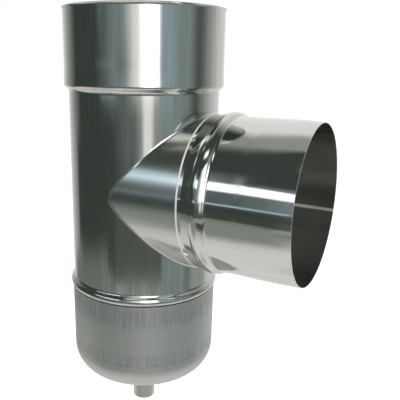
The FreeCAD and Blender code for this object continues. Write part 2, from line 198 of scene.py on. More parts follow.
def male_end(sizes, root_end, depth):
    """A male end from the root of its bead: neck, step, land and taper.

    The step is two equal arcs, hollow then round, which leave the neck and reach the land level.
    The taper is one arc that leaves the land level.
    """
    land = root_end + sizes.neck_length + sizes.step_length
    middle, half = land - sizes.step_length / 2, sizes.step_blend / 2
    rise = (sizes.land_radius - sizes.neck_radius) / 2
    bend = (half ** 2 + rise ** 2) / (2 * rise)
    taper, narrowing = land + sizes.land_length, sizes.land_radius - sizes.mouth_radius
    curve = (sizes.taper_length ** 2 + narrowing ** 2) / (2 * narrowing)
    return [
        (middle - half, sizes.neck_radius - depth, bend + depth, 1),
        (middle, sizes.neck_radius + rise - depth, bend - depth, -1),
        (middle + half, sizes.land_radius - depth),
        (taper, sizes.land_radius - depth, curve - depth, -1),
        (taper + sizes.taper_length, sizes.mouth_radius - depth),
    ]


def mirrored(points):
    """Turn a line that runs outwards along X into one that runs down along Z."""
    return [(-axial, radial, *((arc[0], -arc[1]) if arc else ()))
            for axial, radial, *arc in points]


def lower_bead_end(sizes):
    """Depth where the root of the lower bead ends."""
    angle = bead_angle(sizes.bead_radius, sizes.neck_radius, sizes.bead_crown, sizes.bead_root)
    return sizes.bead_middle + (sizes.bead_crown + sizes.bead_root) * math.sin(angle)


def pipe_line(sizes, depth):
    """The pipe's wall from the rim down to the lower mouth, as (height, radius).

    The bell's foot swells in an arc that leaves the wall level.
    """
    foot, bell, pipe = sizes.foot_radius, sizes.bell_radius, sizes.body_radius
    crown, root = sizes.shoulder_crown, sizes.shoulder_root
    slope = bead_angle(foot, pipe, crown, root)
    height = sizes.foot_height
    hollow, top = root + depth, crown - depth
    flare = math.acos(1 - sizes.rim_flare / sizes.rim_bend)
    bend = sizes.rim_bend + depth
    rim = height + sizes.bell_length - (sizes.rim_bend + sizes.wall) * math.sin(flare)
    swell = (sizes.bell_swell ** 2 + (foot - bell) ** 2) / (2 * (foot - bell))
    upper = [
        (rim + bend * math.sin(flare), bell - depth + bend * (1 - math.cos(flare)), bend, -1),
        (rim, bell - depth),
        (height + sizes.bell_swell, bell - depth, swell + depth, -1),
        (height, foot - depth, top, 1),
        (height - top * math.sin(slope), foot - crown + top * math.cos(slope), hollow, -1),
        (height - (crown + root) * math.sin(slope), pipe - depth),
    ]
    middle = sizes.bead_middle
    above, start, hollow, top = bead_half(middle, sizes.bead_radius, pipe, sizes.bead_crown,
                                          sizes.bead_root, depth)
    below, end, _, _ = bead_half(middle, sizes.bead_radius, sizes.neck_radius, sizes.bead_crown,
                                 sizes.bead_root, depth)
    lower = [
        (2 * middle - start[0], start[1], hollow, 1),
        (2 * middle - above[0], above[1], top, -1),
        (middle, sizes.bead_radius - depth, top, -1),
        (*below, hollow, 1),
        end,
        *male_end(sizes, end[0], depth),
    ]
    return upper + mirrored(lower)


def spigot_line(sizes, depth):
    """The branch spigot's wall from its root to its mouth, as (reach, radius)."""
    seat = sizes.collar_radius + sizes.lap_gap + sizes.wall
    peak, crown = sizes.bead_radius, sizes.spigot_crown
    rise = math.acos((sizes.crease_radius - peak + crown) / crown)
    middle = sizes.root_start + sizes.root_length + crown * math.sin(rise)
    slope, end, hollow, top = bead_half(middle, peak, sizes.neck_radius, crown,
                                        sizes.spigot_root, depth)
    return [
        (sizes.root_start, seat - depth),
        (sizes.root_start + sizes.root_seat, seat - depth),
        (middle - top * math.sin(rise), peak - crown + top * math.cos(rise), top, -1),
        (*slope, hollow, 1),
        end,
        *male_end(sizes, end[0], depth),
    ]


def cap_places(sizes):
    """The cap's outside radius, the depth of its rim, of its knuckle and of its dome's centre."""
    outside = sizes.land_radius + sizes.cap_clearance + sizes.cap_wall
    rim_bore = sizes.land_radius + sizes.cap_clearance + sizes.cap_draft
    end = lower_bead_end(sizes)
    rise = sizes.neck_radius + sizes.bead_root - rim_bore
    rim = end - math.sqrt(sizes.bead_root ** 2 - rise ** 2) + sizes.cap_gap
    knuckle = male_end(sizes, end, 0.0)[-1][0] - sizes.cap_overreach
    gap, reach = sizes.cap_dome - sizes.cap_knuckle, outside - sizes.cap_knuckle
    return outside, rim, knuckle, knuckle - math.sqrt(gap ** 2 - reach ** 2)


def cap_line(sizes, depth):
    """The cap's wall from its rim to the drain hole, as (height, radius)."""
    outside, rim, knuckle, centre = cap_places(sizes)
    bend, dome = sizes.cap_knuckle - depth, sizes.cap_dome - depth
    turn = math.asin((outside - sizes.cap_knuckle) / (sizes.cap_dome - sizes.cap_knuckle))
    hole = sizes.nipple_base + sizes.drain_gap
    return mirrored([
        (rim, outside + sizes.cap_draft - depth),
        (knuckle, outside - depth, bend, -1),
        (centre + dome * math.cos(turn), dome * math.sin(turn), dome, -1),
        (centre + math.sqrt(dome ** 2 - hole ** 2), hole),
    ])


def sheet_outline(line, sizes, thickness):
    """Close a sheet's outline: its outer line, then its inner line backwards."""
    outer, inner = line(sizes, 0.0), line(sizes, thickness)
    back = []
    for index in range(len(inner) - 1, -1, -1):
        arc = inner[index - 1][2:] if index else ()
        back.append((*inner[index][:2], *((arc[0], -arc[1]) if arc else ())))
    return outer + back


def stretches(outline, step=math.radians(4)):
    """The lines and arcs of a closed outline, each as its points and its outward normals.

    A line runs straight to the next corner. An arc is centred at its radius on the given side of
    the chord, and has a point every few degrees. The normal is the direction of travel after a
    quarter turn, towards the side that the outline's signed area says is outside.
    """
    corners = np.array([entry[:2] for entry in outline])
    after = np.roll(corners, -1, axis=0)
    area = np.sum(corners[:, 0] * after[:, 1] - after[:, 0] * corners[:, 1])
    found = []
    for start, end, entry in zip(corners, after, outline):
        chord = end - start
        left = np.array([-chord[1], chord[0]]) / np.hypot(*chord)
        if len(entry) == 2:
            points = np.array([start, end])
            normals = np.array([-left, -left])
        else:
            radius, side = entry[2:]
            rise = math.sqrt(max(radius ** 2 - (np.hypot(*chord) / 2) ** 2, 0.0))
            centre = (start + end) / 2 + left * rise * side
            first, last = np.arctan2(*(start - centre)[::-1]), np.arctan2(*(end - centre)[::-1])
            sweep = (last - first + math.pi) % (2 * math.pi) - math.pi
            angles = first + sweep * np.linspace(0, 1, max(int(abs(sweep) / step), 3) + 1)
            out = np.stack([np.cos(angles), np.sin(angles)], axis=1)
            points = centre + radius * out
            points[0], points[-1] = start, end
            normals = out * side
        found.append((points, normals * np.sign(area)))
    return found


def turn(stretch, axis, columns):
    """Carry a stretch round an axis: radius times cosine and sine across it, the rest along it."""
    angles = np.linspace(0, 2 * math.pi, columns + 1)
    patch = []
    for pairs in stretch:
        along = np.repeat(pairs[:, :1], len(angles), axis=1)
        across = pairs[:, 1:] * np.cos(angles), pairs[:, 1:] * np.sin(angles)
        patch.append(np.stack((*across, along) if axis == "Z" else (along, *across), axis=2))
    return tuple(patch)


def turned_piece(outline, axis, columns):
    """The patches of a piece turned from one closed outline; about Z it is (height, radius)."""
    return [turn(stretch, axis, columns) for stretch in stretches(outline)]


def pierced_wall(stretch, hole, columns):
    """The pipe's straight wall with the branch's hole, as rows of constant height.

    In the hole's part a row's height is the hole's radius times the sine of an even angle. There
    the row runs from one side of the hole round the back to the other: its first angle is the one
    whose sine is the hole's half width at that height over the wall's radius.
    """
    (top, radius), (bottom, _) = stretch[0]
    if top < bottom:
        top, bottom = bottom, top
    heights = np.concatenate([
        [top],
        hole * np.sin(np.linspace(math.pi / 2, -math.pi / 2, HOLE_ROWS + 1)),
        [bottom],
    ])
    half_width = np.sqrt(np.clip(hole ** 2 - heights ** 2, 0, None))
    half_width[[0, 1, -2, -1]] = 0.0
    first = np.arcsin(half_width / radius)[:, None]
    angles = first + (2 * math.pi - 2 * first) * np.linspace(0, 1, columns + 1)
    level = np.repeat(heights[:, None], columns + 1, axis=1)
    out = np.stack([np.cos(angles), np.sin(angles), np.zeros_like(angles)], axis=2)
    points = out * radius
    points[..., 2] = level
    return points, out * np.sign(stretch[1][0, 1])


def hole_edge(sizes):
    """The cut edge of the pipe's hole: a ring across the sheet, facing the branch's axis.

    At an angle about X the reach of a point is the root of the wall's radius squared less the
    sideways distance squared.
    """
    angles = np.linspace(-math.pi / 2, 1.5 * math.pi, 2 * HOLE_ROWS + 1)
    across, up = np.cos(angles), np.sin(angles)
    walls = sizes.body_radius, sizes.body_radius - sizes.wall
    edge = sizes.hole_radius
    points = np.stack([np.stack([np.sqrt(wall ** 2 - (edge * across) ** 2), edge * across,
                                 edge * up], axis=1) for wall in walls])
    normals = np.stack([np.zeros_like(up), -across, -up], axis=1)
    return points, np.stack([normals, normals])


def pipe_patches(sizes):
    """The whole pipe: its outline turned about Z, with the wall beside the branch pierced."""
    patches = []
    for stretch in stretches(sheet_outline(pipe_line, sizes, sizes.wall)):
        heights = stretch[0][:, 0]
        if heights.min() < 0 < heights.max():
            patches.append(pierced_wall(stretch, sizes.hole_radius, sizes.columns))
        else:
            patches.append(turn(stretch, "Z", sizes.columns))
    patches.append(hole_edge(sizes))
    return patches


def collar_patches(sizes):
    """The coped tube: each wall starts where its radius about X meets the pipe's radius about Z.

    At an angle about X the start's reach is the root of the pipe's radius squared less the
    sideways distance squared. Rows share out the way from there to the collar's end evenly.
    """
    angles = np.linspace(0, 2 * math.pi, 2 * sizes.columns + 1)
    across, up = np.sin(angles), np.cos(angles)
    flat = np.zeros_like(angles)
    walls = []
    for radius in (sizes.collar_radius, sizes.collar_radius - sizes.wall):
        start = np.sqrt(sizes.body_radius ** 2 - (radius * across) ** 2)
        reach = start + (sizes.collar_end - start) * np.linspace(0, 1, COLLAR_ROWS)[:, None]
        walls.append(np.stack([reach, radius * across + 0 * reach, radius * up + 0 * reach],
                              axis=2))
    outer, inner = walls
    out = np.stack([flat, across, up], axis=1) + 0 * outer
    cope = np.stack([outer[0], inner[0]])
    inwards = -cope / sizes.body_radius
    inwards[..., 2] = 0.0
    end = np.stack([outer[-1], inner[-1]])
    return [(outer, out), (inner, -out), (cope, inwards), (end, 0 * end + (1.0, 0.0, 0.0))]


def unit(vectors):
    """Vectors brought to a length of one."""
    return vectors / np.linalg.norm(vectors, axis=-1, keepdims=True)


def onto_tube(points, radius, axis):
    """Points moved straight to the surface of a tube about X, axis 0, or about Z, axis 2."""
    away = points.copy()
    away[..., axis] = 0.0
    moved = unit(away) * radius
    moved[..., axis] = points[..., axis]
    return moved


def saddle_patches(sizes, sections=480, steps=8):
    """The weld round the saddle: a hollow face between a leg on the pipe and one on the collar.

    A section stands square to the line where both tubes meet. Its legs are the rolling radius
    times the tangent of half the angle between the tubes' normals, and never less than the toe.
    The face is a parabola through the legs' ends and a point at the weld's height over the line.
    """
    angles = 2 * math.pi * (np.arange(sections + 1) + 0.5) / sections
    pipe, collar = sizes.body_radius + sizes.lap_gap, sizes.collar_radius + sizes.lap_gap
    across, up = collar * np.sin(angles), collar * np.cos(angles)
    line = np.stack([np.sqrt(pipe ** 2 - across ** 2), across, up], axis=1)
    pipe_normal = unit(line * (1, 1, 0))
    collar_normal = unit(line * (0, 1, 1))
    run = unit(np.cross(pipe_normal, collar_normal))
    half = np.arccos(np.sum(pipe_normal * collar_normal, axis=1, keepdims=True)) / 2
    leg = np.maximum(sizes.saddle_fillet * np.tan(half), sizes.saddle_toe)
    rise = np.maximum(sizes.saddle_fillet * (1 / np.cos(half) - 1), sizes.saddle_height)
    on_pipe = onto_tube(line + np.cross(run, pipe_normal) * leg, pipe, 2)
    on_collar = onto_tube(line - np.cross(run, collar_normal) * leg, collar, 0)
    middle = line + unit(pipe_normal + collar_normal) * rise
    share = np.linspace(0, 1, steps + 1)[:, None, None]
    face = (on_pipe * (1 - share) * (1 - 2 * share) + middle * 4 * share * (1 - share)
            + on_collar * share * (2 * share - 1))
    bulge = np.gradient(face, axis=0)
    along = np.gradient(face, axis=1)
    along[:, 0] = along[:, -1] = face[:, 1] - face[:, -2]
    normals = unit(np.cross(along, bulge))
    normals *= np.sign(np.sum(normals * (pipe_normal + collar_normal), axis=-1, keepdims=True))
    return [
        (face, normals),
        (np.stack([line, on_pipe]), np.stack([-pipe_normal, -pipe_normal])),
        (np.stack([line, on_collar]), np.stack([-collar_normal, -collar_normal])),
    ]


def ring_weld_outline(sizes):
    """The ring weld on the collar: a round face up to the edge of the spigot's root."""
    base = sizes.collar_radius
    return [
        (sizes.root_start - sizes.seam_width, base, sizes.seam_round, -1),
        (sizes.root_start, base + sizes.lap_gap + sizes.wall),
        (sizes.root_start, base),
    ]


def nipple_outline(sizes):
    """The drain nipple: a tube with a thicker base through the dome, chamfered at its end."""
    centre, bore, outside = cap_places(sizes)[3], sizes.nipple_bore, sizes.nipple_radius
    base, skin = sizes.nipple_base, sizes.cap_dome - sizes.cap_wall
    top = -(centre + math.sqrt(skin ** 2 - base ** 2) - sizes.nipple_inside)
    step = -(centre + math.sqrt(sizes.cap_dome ** 2 - base ** 2) + sizes.base_length)
    end = -(centre + sizes.cap_dome + sizes.nipple_length)
    return [
        (top, bore),
        (top, base),
        (step, base),
        (step, outside),
        (end + sizes.nipple_chamfer, outside),
        (end, outside - sizes.nipple_chamfer),
        (end, bore),
    ]


def drain_weld_outline(sizes):
    """The weld under the dome round the nipple, with a hollow face."""
    centre, inner = cap_places(sizes)[3], sizes.nipple_base
    outer = inner + sizes.drain_leg
    near, far = (-(centre + math.sqrt(sizes.cap_dome ** 2 - r ** 2)) for r in (inner, outer))
    return [
        (near, inner),
        (near - sizes.drain_leg, inner, sizes.drain_round, 1),
        (far, outer, sizes.cap_dome, 1),
    ]


def make_piece(name, body, patches, material):
    """Join grids of points and normals into one closed mesh that stands for the CAD node.

    Each square of a grid becomes a face with its corners in the order that looks along the
    normals. Points on the same tenth of a micrometre become one vertex, and a square with a
    doubled corner becomes a triangle. Corners keep the grids' own normals.
    """
    points = np.concatenate([p.reshape(-1, 3) for p, _ in patches])
    normals = np.concatenate([n.reshape(-1, 3) for _, n in patches])
    squares, count = [], 0
    for grid, _ in patches:
        rows, across = grid.shape[:2]
        index = count + np.arange(rows * across).reshape(rows, across)
        squares.append(np.stack([index[:-1, :-1], index[:-1, 1:], index[1:, 1:], index[1:, :-1]],
                                axis=2).reshape(-1, 4))
        count += rows * across
    squares = np.concatenate(squares)
    corner = points[squares]
    facing = np.cross(corner[:, 2] - corner[:, 0], corner[:, 3] - corner[:, 1])
    wrong = np.sum(facing * normals[squares].sum(axis=1), axis=1) < 0
    squares[wrong] = squares[wrong][:, ::-1]
    _, kept, merged = np.unique(np.round(points * MERGE_STEPS).astype(np.int64), axis=0,
                                return_index=True, return_inverse=True)
    faces = merged.reshape(-1)[squares]
    own = faces != np.roll(faces, -1, axis=1)
    whole = own.sum(axis=1) >= 3
    faces, squares, own = faces[whole], squares[whole], own[whole]
    mesh = bpy.data.meshes.new(name)
    mesh.from_pydata(points[kept], [], [face[mask].tolist() for face, mask in zip(faces, own)])
    mesh.polygons.foreach_set("use_smooth", np.ones(len(mesh.polygons), dtype=bool))
    mesh.normals_split_custom_set(normals[squares[own]])
    mesh.materials.append(material)
    piece = bpy.data.objects.new(f"{name}_skin", mesh)
    bpy.context.scene.collection.objects.link(piece)
    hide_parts(name)
    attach(piece, body)
    return piece


# Finishes

def node(tree, kind, inputs=None, **settings):
    """Add a node with its settings, and fill its inputs from values or from other sockets."""
    made = tree.nodes.new(kind)
    for name, value in settings.items():
        setattr(made, name, value)
    for key, value in (inputs or {}).items():
        if isinstance(value, bpy.types.NodeSocket):
            tree.links.new(value, made.inputs[key])
        else:
            made.inputs[key].default_value = value
    place = len(tree.nodes) - 1
    made.location = (240 * (place % 8), -300 * (place // 8))
    return made


def start_material(name):
    """A material with a metal surface that is ready for its links."""
    material = bpy.data.materials.new(name)
    material.use_nodes = True
    tree = material.node_tree
    tree.nodes.clear()
    shader = node(tree, "ShaderNodeBsdfPrincipled", {"Metallic": 1.0})
    node(tree, "ShaderNodeOutputMaterial", {"Surface": shader.outputs["BSDF"]})
    return material, tree, shader


def per_metre(millimetres):
    """Scale of a pattern whose features are that many millimetres across."""
    return 1000.0 / millimetres


def drawn_out(tree, place, across, squeeze, detail, roughness):
    """Noise with features that many millimetres across, drawn out where squeeze is below one.

    Squeeze is what X, Y and Z are multiplied by before the noise is worked out there.
    """
    squeezed = node(tree, "ShaderNodeMapping", {"Vector": place, "Scale": squeeze})
    return node(tree, "ShaderNodeTexNoise", {"Vector": squeezed.outputs[0],
                                             "Scale": per_metre(across), "Detail": detail,
                                             "Roughness": roughness}).outputs["Fac"]


# The long seam: half its width where it is whole and where it has run out, its height, and the Y
# behind which it shows, all in metres
SEAM_WHOLE, SEAM_EDGE, SEAM_HEIGHT, SEAM_BEHIND = 0.0007, 0.0016, 0.0002, 0.03
# Height in metres of the flutes and of the waves, and how much streaks adds to the waves'
FLUTE_HEIGHT, WAVE_HEIGHT, STREAKED_WAVES = 0.00003, 0.00008, 0.00012
# What the duller lines, the seam and the patches of the unwiped inside add to the roughness
LINE_DULLNESS, SEAM_DULLNESS, INSIDE_DULLNESS = 0.07, 0.4, (0.12, 0.28)
# Noise stays near its middle, and these stretches of it are spread out over lines and patches
LINE_TONES, PATCH_TONES = (0.32, 0.68), (0.35, 0.65)


def bright_sheet(name, along, streaks, dullness, seam_at, colours):
    """Bright-annealed stainless sheet, rolled round one axis and seamed at the back.

    It is almost a mirror. Rolling leaves faint flutes along the axis, which break the mirror
    image into streaks, and slow waves, which bend it. Duller lines run with the flutes. Real
    ones are finer than a millimetre and wouldn't show, so they are drawn 2.6 mm wide. Streaks
    is how strong flutes and lines are, and it raises the waves. Dullness is the least roughness.
    The inside was never wiped bright and is duller in patches. The seam is a narrow matt ridge,
    straw-coloured from its heat, on the side of +Y. Seam_at is its X on an upright tube and its
    Z on a level one.
    """
    material, tree, shader = start_material(name)
    coordinates = node(tree, "ShaderNodeTexCoord")
    place = coordinates.outputs["Object"]

    def lengthwise(share):
        """That share along the tube's axis, and one across it."""
        return [share if letter == along else 1.0 for letter in "XYZ"]

    flutes = drawn_out(tree, place, 5.0, lengthwise(0.03), 3.0, 0.55)
    waves = drawn_out(tree, place, 45.0, lengthwise(0.3), 1.0, 0.4)
    lines = drawn_out(tree, place, 2.6, lengthwise(0.03), 3.0, 0.6)
    dulled = node(tree, "ShaderNodeMapRange", {"Value": lines, "From Min": LINE_TONES[0],
                                               "From Max": LINE_TONES[1],
                                               "To Max": streaks}).outputs[0]
    # The place away from the axis times the normal is about minus the radius on the inside
    outward = node(tree, "ShaderNodeVectorMath", {0: place, 1: lengthwise(0.0)},
                   operation="MULTIPLY").outputs[0]
    facing = node(tree, "ShaderNodeVectorMath", {0: outward, 1: coordinates.outputs["Normal"]},
                  operation="DOT_PRODUCT").outputs["Value"]
    inside = node(tree, "ShaderNodeMath", {0: facing, 1: -0.01}, operation="LESS_THAN").outputs[0]
    parts = node(tree, "ShaderNodeSeparateXYZ", {"Vector": place})
    offset = node(tree, "ShaderNodeMath", {0: parts.outputs["X" if along == "Z" else "Z"],
                                           1: seam_at}, operation="SUBTRACT")
    aside = node(tree, "ShaderNodeMath", {0: offset.outputs[0]}, operation="ABSOLUTE").outputs[0]
    narrow = node(tree, "ShaderNodeMapRange", {"Value": aside, "From Min": SEAM_EDGE,
                                               "From Max": SEAM_WHOLE}).outputs[0]
    behind = node(tree, "ShaderNodeMath", {0: parts.outputs["Y"], 1: SEAM_BEHIND},
                  operation="GREATER_THAN").outputs[0]
    seam = node(tree, "ShaderNodeMath", {0: narrow, 1: behind}, operation="MULTIPLY").outputs[0]
    tone = node(tree, "ShaderNodeMix", {"Factor": dulled, "A": (*colours.sheet, 1.0),
                                        "B": (*colours.sheet_dull, 1.0)}, data_type="RGBA")
    seamed = node(tree, "ShaderNodeMix", {"Factor": seam, "A": tone.outputs["Result"],
                                          "B": (*colours.seam, 1.0)}, data_type="RGBA")
    tree.links.new(seamed.outputs["Result"], shader.inputs["Base Color"])
    patches = node(tree, "ShaderNodeMapRange", {
        "Value": waves, "From Min": PATCH_TONES[0], "From Max": PATCH_TONES[1],
        "To Min": INSIDE_DULLNESS[0], "To Max": INSIDE_DULLNESS[1]}).outputs[0]
    rough = dullness
    for share, more in ((dulled, LINE_DULLNESS), (seam, SEAM_DULLNESS), (inside, patches)):
        rough = node(tree, "ShaderNodeMath", {0: share, 1: more, 2: rough},
                     operation="MULTIPLY_ADD").outputs[0]
    tree.links.new(rough, shader.inputs["Roughness"])
    bent = node(tree, "ShaderNodeBump", {"Height": waves, "Strength": 1.0,
                                         "Distance": WAVE_HEIGHT + STREAKED_WAVES * streaks})
    ribbed = node(tree, "ShaderNodeBump", {"Height": flutes, "Strength": 1.0,
                                           "Distance": FLUTE_HEIGHT * streaks,
                                           "Normal": bent.outputs["Normal"]})
    raised = node(tree, "ShaderNodeBump", {"Height": seam, "Strength": 1.0,
                                           "Distance": SEAM_HEIGHT,
                                           "Normal": ribbed.outputs["Normal"]})
    tree.links.new(raised.outputs["Normal"], shader.inputs["Normal"])
    return material


def weld_steel(name, least, most, metallic, tint, ripple_height=0.00003):
    """A weld without filler, with a fine ripple in it and a roughness from least to most.

    A polished weld is as metallic as the sheet. A brushed one is less so: its scratches scatter
    light to all sides, which shows as an even white line.
    """
    material, tree, shader = start_material(name)
    place = node(tree, "ShaderNodeTexCoord").outputs["Object"]
    ripple = node(tree, "ShaderNodeTexNoise", {"Vector": place, "Scale": per_metre(1.6),
                                               "Detail": 2.0, "Roughness": 0.5})
    shader.inputs["Base Color"].default_value = (*tint, 1.0)
    shader.inputs["Metallic"].default_value = metallic
    dull = node(tree, "ShaderNodeMapRange", {"Value": ripple.outputs["Fac"], "To Min": least,
                                             "To Max": most})
    tree.links.new(dull.outputs["Result"], shader.inputs["Roughness"])
    bump = node(tree, "ShaderNodeBump", {"Height": ripple.outputs["Fac"], "Strength": 1.0,
                                         "Distance": ripple_height})
    tree.links.new(bump.outputs["Normal"], shader.inputs["Normal"])
    return material


def drawn_steel(colours, sizes, roughness=0.45, line_depth=0.00002):
    """Deep-drawn stainless: matt, with fine upright lines where the sheet slid over the die.

    The lines are clearest in a band under the rim. They fade down the wall, where a trace of them
    is left, and come back weaker in a band above the knuckle. There the die also left a row of
    darker spots. The dome has none. Real lines are half as wide as these, which have to show.
    """
    material, tree, shader = start_material("Drawn steel")
    place = node(tree, "ShaderNodeTexCoord").outputs["Object"]
    height = node(tree, "ShaderNodeSeparateXYZ", {"Vector": place}).outputs["Z"]
    _, rim_depth, knuckle_depth, _ = cap_places(sizes)
    rim, knuckle = -rim_depth, -knuckle_depth

    def band(low, high, soft):
        """One between two heights, and nothing beyond their soft edges."""
        above = node(tree, "ShaderNodeMapRange", {"Value": height, "From Min": low - soft,
                                                  "From Max": low}).outputs[0]
        below = node(tree, "ShaderNodeMapRange", {"Value": height, "From Min": high + soft,
                                                  "From Max": high}).outputs[0]
        return node(tree, "ShaderNodeMath", {0: above, 1: below}, operation="MULTIPLY").outputs[0]

    def grain(across, flatten, least, most):
        """Noise drawn out along Z, its tones from least to most spread from nothing to one."""
        noise = drawn_out(tree, place, across, (1.0, 1.0, flatten), 3.0, 0.6)
        return node(tree, "ShaderNodeMapRange", {"Value": noise, "From Min": least,
                                                 "From Max": most}).outputs[0]

    under_rim = band(rim - 0.014, rim - 0.005, 0.009)
    over_knuckle = band(knuckle + 0.005, knuckle + 0.012, 0.006)
    whole_wall = band(knuckle + 0.004, rim - 0.002, 0.003)
    strength = 0.0
    for stripe, share in ((under_rim, 1.0), (over_knuckle, 0.65), (whole_wall, 0.15)):
        part = node(tree, "ShaderNodeMath", {0: stripe, 1: share},
                    operation="MULTIPLY").outputs[0]
        strength = node(tree, "ShaderNodeMath", {0: part, 1: strength},
                        operation="MAXIMUM").outputs[0]
    lines = node(tree, "ShaderNodeMath", {0: grain(0.9, 0.03, 0.36, 0.64), 1: strength},
                 operation="MULTIPLY").outputs[0]
    row = band(knuckle + 0.0045, knuckle + 0.0055, 0.0012)
    spots = node(tree, "ShaderNodeMath", {0: grain(2.2, 0.1, 0.46, 0.68), 1: row},
                 operation="MULTIPLY").outputs[0]
    pale = node(tree, "ShaderNodeMath", {0: lines, 1: 0.65}, operation="MULTIPLY").outputs[0]
    dark = node(tree, "ShaderNodeMath", {0: pale, 1: spots}, operation="MAXIMUM").outputs[0]
    tone = node(tree, "ShaderNodeMix", {"Factor": dark, "A": (*colours.drawn, 1.0),
                                        "B": (*colours.drawn_dark, 1.0)}, data_type="RGBA")
    tree.links.new(tone.outputs["Result"], shader.inputs["Base Color"])
    shader.inputs["Roughness"].default_value = roughness
    bump = node(tree, "ShaderNodeBump", {"Height": lines, "Strength": 0.4,
                                         "Distance": -line_depth})
    tree.links.new(bump.outputs["Normal"], shader.inputs["Normal"])
    return material


def turned_steel(colours, least=0.3, most=0.5, ring_height=0.00003):
    """Turned stainless: satin, with the fine rings of the lathe tool round it.

    The rings also spread its roughness from least to most. Real ones are about 0.1 mm apart, too
    fine to show, so they are drawn 0.6 mm wide.
    """
    material, tree, shader = start_material("Turned steel")
    place = node(tree, "ShaderNodeTexCoord").outputs["Object"]
    rings = drawn_out(tree, place, 0.6, (0.02, 0.02, 1.0), 2.0, 0.6)
    shader.inputs["Base Color"].default_value = (*colours.turned, 1.0)
    dull = node(tree, "ShaderNodeMapRange", {"Value": rings, "To Min": least, "To Max": most})
    tree.links.new(dull.outputs["Result"], shader.inputs["Roughness"])
    bump = node(tree, "ShaderNodeBump", {"Height": rings, "Strength": 0.5,
                                         "Distance": ring_height})
    tree.links.new(bump.outputs["Normal"], shader.inputs["Normal"])
    return material


# Studio

# What the steel mirrors. In degrees: azimuth from the camera, half width and softness, then lowest
# and highest elevation and softness; then the colour and how bright it is. Later panels lie over
# earlier ones
MIRRORED = [
    ("backdrop", 168, 60, 66, -36, 66, 36, "#e6e6e4", 1.05),
    ("backdrop top", -178, 24, 30, 4, 70, 24, "#f2f2f0", 1.15),
    ("left doorway", -94, 16, 8, -19, 60, 4, "#454c47", 1.0),
    ("doorway foot", -104, 16, 6, -19, -8, 4, "#454c47", 1.0),
    ("right wall", 46, 30, 24, -34, 50, 14, "#929f9d", 1.0),
    ("right corner", 34, 12, 10, -5, 40, 6, "#a8b6c2", 1.0),
    ("left wall", -18, 32, 32, -4, 29, 6, "#8a989b", 1.0),
    ("left shade", -14, 22, 26, -13, 0, 8, "#6f7571", 1.0),
    ("ceiling", -150, 50, 40, 62, 90, 16, "#a3a6a2", 1.1),
    ("ceiling lamp", -14, 26, 14, 56, 66, 6, "#f4f4f0", 1.8),
    ("door lamp", -94, 4, 6, 54, 59, 6, "#fff6ec", 1.5),
    ("floor edge", -54, 86, 3, -60, -20, 4, "#7e867e", 1.0),
    ("floor paper", 0, 180, 1, -90, -42, 40, "#e6e3e2", 1.16),
    ("floor sides", 180, 92, 36, -58, -27, 8, "#e8e8e4", 1.0),
    ("floor front", 5, 34, 36, -39, -27, 12, "#4c534e", 1.0),
    ("right gap", 98, 18, 14, -34, -14, 6, "#a9aeab", 1.0),
    ("floor shade", -58, 14, 12, -47, -24, 14, "#989f97", 1.0),
    ("dark mat", -8, 40, 8, -26, -14, 3, "#5c645c", 1.0),
    ("mat border", -4, 42, 10, -29, -23.3, 1.2, "#a6ada8", 1.0),
    ("mat corner", -50, 7, 6, -22, -12, 2, "#4b524c", 1.0),
    ("mat end", 46, 16, 6, -30, -13, 6, "#8f9c9a", 1.0),
    ("window sill", 10, 16, 14, -15, 4, 10, "#e8ebea", 0.5),
    ("window foot", 8, 7, 6, -14, 2, 8, "#ffffff", 1.1),
    ("window glow", -3, 12, 30, -3, 40, 6, "#ecebe8", 1.6),
    ("window", 11, 12, 8, -2, 42, 5, "#ffffff", 3.0),
    ("softbox glow", -60, 4, 8, 8, 32, 20, "#c4ccd0", 0.7),
    ("blue shade", -70, 7, 6, 13, 27, 6, "#b9d7e6", 1.6),
    ("softbox side", -60, 7, 6, 15, 25, 4, "#cfe6f0", 1.5),
    ("left softbox", -46, 11, 4, 15, 25, 2.5, "#f4f8f9", 2.3),
    ("bright strip", -52, 14, 6, -3.1, -1.7, 0.8, "#bcd8ea", 1.5),
]
# How bright the room is for rays that are neither the camera's nor mirrored ones
PLAIN_LIGHT = 0.5
# Softboxes: place, width and power in watts. They look at the middle of the tee
TEE_MIDDLE = (0.03, 0.0, -0.03)
LAMPS = [
    ("key softbox", (-0.7, -1.3, 1.3), 1.2, 14.0),
    ("top softbox", (0.3, 0.3, 1.9), 1.8, 14.0),
]
# The floor: its reach in metres, its faces round and outwards, and what lifts it to white paper
FLOOR_REACH, FLOOR_SECTORS, FLOOR_RINGS, PAPER_GLOW = 8.0, 96, 12, 0.58
SENSOR_WIDTH = 36.0  # millimetres
SEEN_FROM, SEEN_TO = 0.01, 50.0  # metres from the camera
WHITE = (1.0, 1.0, 1.0, 1.0)


